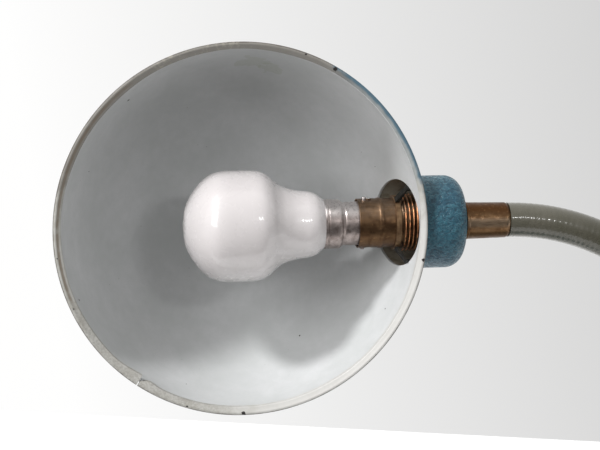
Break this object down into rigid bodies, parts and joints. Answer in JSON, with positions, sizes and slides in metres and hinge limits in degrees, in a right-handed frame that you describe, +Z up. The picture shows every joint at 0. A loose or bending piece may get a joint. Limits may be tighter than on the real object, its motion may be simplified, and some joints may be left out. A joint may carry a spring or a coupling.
{
  "type": "examination lamp",
  "caption": "Gooseneck examination lamp: side-entry dish shade with an opal bayonet bulb and a cup collar on a flexible arm over a weighted round base with a toggle switch.",
  "frame": {"origin": "middle of the underside of the base pad, on the surface that the lamp stands on", "axes": "+Z up; the arm stands on the base's axis and bends over towards -X, so the lamp axis lies along X; the shade opens towards -Y"},
  "size_m": [0.4434, 0.176, 0.4385],
  "materials": {
    "shade_paint": "satin",
    "rim_paint": "satin",
    "crinkle_blue": "satin",
    "aged_brass": "satin",
    "plain_brass": "satin",
    "dark_steel": "satin",
    "spring_steel": "satin",
    "zinc_steel": "satin",
    "nickel": "satin",
    "porcelain": "gloss",
    "opal_glass": "gloss",
    "clear_glass": "gloss",
    "cap_metal": "satin",
    "black_glass": "gloss",
    "solder": "satin",
    "tungsten": "satin",
    "sleeve_plastic": "satin",
    "flex_rubber": "matte",
    "core_plastic": "satin",
    "fibre": "matte",
    "black_iron": "matte",
    "pad_rubber": "matte",
    "bakelite": "gloss"
  },
  "bodies": {
    "root": {"coil_root": "spring_steel", "arm_sleeve": "sleeve_plastic", "arm_flex": "flex_rubber", "base_ferrule": "aged_brass", "base_nipple": "plain_brass", "base_nut": "zinc_steel", "base_washer": "zinc_steel", "base_cover": "crinkle_blue", "base_weight": "black_iron", "base_plate": "zinc_steel", "base_pad": "pad_rubber", "base_screws": "zinc_steel", "switch_body": "bakelite", "switch_terminals": "plain_brass", "switch_bush": "nickel", "switch_nut": "nickel", "terminal_block": "porcelain", "block_screws": "plain_brass", "lamp_cores": "core_plastic", "switch_wires": "core_plastic", "inlet_bush": "bakelite", "earth_screw": "plain_brass"},
    "link_01": {"coil_link_01": "spring_steel"},
    "link_02": {"coil_link_02": "spring_steel"},
    "link_03": {"coil_link_03": "spring_steel"},
    "link_04": {"coil_link_04": "spring_steel"},
    "link_05": {"coil_link_05": "spring_steel"},
    "link_06": {"coil_link_06": "spring_steel"},
    "link_07": {"coil_link_07": "spring_steel"},
    "link_08": {"coil_link_08": "spring_steel"},
    "link_09": {"coil_link_09": "spring_steel"},
    "link_10": {"coil_link_10": "spring_steel"},
    "link_11": {"coil_link_11": "spring_steel"},
    "arm_tip": {"coil_tip": "spring_steel", "head_ferrule": "aged_brass", "swivel_screw": "dark_steel", "swivel_washer": "fibre"},
    "head": {"shade": "shade_paint", "rim_trim": "rim_paint", "collar": "crinkle_blue", "holder_spider": "dark_steel", "holder_barrel": "aged_brass", "holder_cap": "aged_brass", "holder_insulator": "porcelain", "holder_terminals": "plain_brass", "holder_screws": "plain_brass", "plunger_spring_a": "spring_steel", "plunger_spring_b": "spring_steel", "swivel_stud": "plain_brass", "head_locknut": "plain_brass", "head_flex": "flex_rubber"},
    "bulb": {"bulb_glass": "opal_glass", "bulb_cap": "cap_metal", "bulb_insulator": "black_glass", "bulb_contacts": "solder", "bulb_stem": "clear_glass", "bulb_filament": "tungsten"},
    "plunger_a": {"plunger_a": "plain_brass"},
    "plunger_b": {"plunger_b": "plain_brass"},
    "switch_lever": {"switch_lever": "nickel"}
  },
  "joints": [
    {"name": "arm_bend", "type": "hinge", "parent": "root", "child": "link_01", "pos_m": [0, 0, 0.0815], "axis": [0, -1, 0], "range_deg": [-18, 6], "deforming": ["arm_sleeve", "arm_flex"]},
    {"name": "arm_side_bend", "type": "hinge", "parent": "link_01", "child": "link_02", "pos_m": [0, 0, 0.1105], "axis": [1, 0, 0], "range_deg": [-12, 12], "deforming": ["arm_sleeve", "arm_flex"]},
    {"name": "arm_bend_2", "type": "hinge", "parent": "link_02", "child": "link_03", "pos_m": [0, 0, 0.1395], "axis": [0, -1, 0], "range_deg": [-18, 6], "deforming": ["arm_sleeve", "arm_flex"]},
    {"name": "arm_side_bend_2", "type": "hinge", "parent": "link_03", "child": "link_04", "pos_m": [0, 0, 0.1685], "axis": [1, 0, 0], "range_deg": [-12, 12], "deforming": ["arm_sleeve", "arm_flex"]},
    {"name": "arm_bend_3", "type": "hinge", "parent": "link_04", "child": "link_05", "pos_m": [0, 0, 0.1975], "axis": [0, -1, 0], "range_deg": [-18, 6], "deforming": ["arm_sleeve", "arm_flex"]},
    {"name": "arm_side_bend_3", "type": "hinge", "parent": "link_05", "child": "link_06", "pos_m": [0, 0, 0.2265], "axis": [1, 0, 0], "range_deg": [-12, 12], "deforming": ["arm_sleeve", "arm_flex"]},
    {"name": "arm_bend_4", "type": "hinge", "parent": "link_06", "child": "link_07", "pos_m": [-0.00349, 0, 0.25521], "axis": [0, -1, 0], "range_deg": [-18, 6], "deforming": ["arm_sleeve", "arm_flex"]},
    {"name": "arm_side_bend_4", "type": "hinge", "parent": "link_07", "child": "link_08", "pos_m": [-0.01375, 0, 0.28226], "axis": [0.8855, 0, 0.4647], "range_deg": [-12, 12], "deforming": ["arm_sleeve", "arm_flex"]},
    {"name": "arm_bend_5", "type": "hinge", "parent": "link_08", "child": "link_09", "pos_m": [-0.03018, 0, 0.30607], "axis": [0, -1, 0], "range_deg": [-18, 6], "deforming": ["arm_sleeve", "arm_flex"]},
    {"name": "arm_side_bend_5", "type": "hinge", "parent": "link_09", "child": "link_10", "pos_m": [-0.05183, 0, 0.32525], "axis": [0.5681, 0, 0.823], "range_deg": [-12, 12], "deforming": ["arm_sleeve", "arm_flex"]},
    {"name": "arm_bend_6", "type": "hinge", "parent": "link_10", "child": "link_11", "pos_m": [-0.07745, 0, 0.3387], "axis": [0, -1, 0], "range_deg": [-18, 6], "deforming": ["arm_sleeve", "arm_flex"]},
    {"name": "arm_side_bend_6", "type": "hinge", "parent": "link_11", "child": "arm_tip", "pos_m": [-0.10554, 0, 0.34562], "axis": [0.1205, 0, 0.9927], "range_deg": [-12, 12], "deforming": ["arm_sleeve", "arm_flex"]},
    {"name": "head_swivel", "type": "hinge", "parent": "arm_tip", "child": "head", "pos_m": [-0.1344, 0, 0.3465], "axis": [1, 0, 0], "range_deg": [-160, 160]},
    {"name": "bulb_push", "type": "slide", "parent": "head", "child": "bulb", "axis": [1, 0, 0], "range_m": [0, 0.0015], "stiffness_N_per_m": 1600, "springref_m": -0.004, "deforming": ["plunger_spring_a", "plunger_spring_b"]},
    {"name": "plunger_a_push", "type": "slide", "parent": "head", "child": "plunger_a", "axis": [1, 0, 0], "range_m": [0, 0.0015], "deforming": ["plunger_spring_a"]},
    {"name": "plunger_b_push", "type": "slide", "parent": "head", "child": "plunger_b", "axis": [1, 0, 0], "range_m": [0, 0.0015], "deforming": ["plunger_spring_b"]},
    {"name": "switch_toggle", "type": "hinge", "parent": "root", "child": "switch_lever", "pos_m": [-0.05245, 0, 0.04195], "axis": [0, 1, 0], "range_deg": [0, 30]}
  ],
  "couplings": [
    {"joint": "arm_bend_2", "follows": "arm_bend", "ratio": 1},
    {"joint": "arm_side_bend_2", "follows": "arm_side_bend", "ratio": 1},
    {"joint": "arm_bend_3", "follows": "arm_bend", "ratio": 1},
    {"joint": "arm_side_bend_3", "follows": "arm_side_bend", "ratio": 1},
    {"joint": "arm_bend_4", "follows": "arm_bend", "ratio": 1},
    {"joint": "arm_side_bend_4", "follows": "arm_side_bend", "ratio": 1},
    {"joint": "arm_bend_5", "follows": "arm_bend", "ratio": 1},
    {"joint": "arm_side_bend_5", "follows": "arm_side_bend", "ratio": 1},
    {"joint": "arm_bend_6", "follows": "arm_bend", "ratio": 1},
    {"joint": "arm_side_bend_6", "follows": "arm_side_bend", "ratio": 1},
    {"joint": "plunger_a_push", "follows": "bulb_push", "ratio": 1},
    {"joint": "plunger_b_push", "follows": "bulb_push", "ratio": 1}
  ]
}
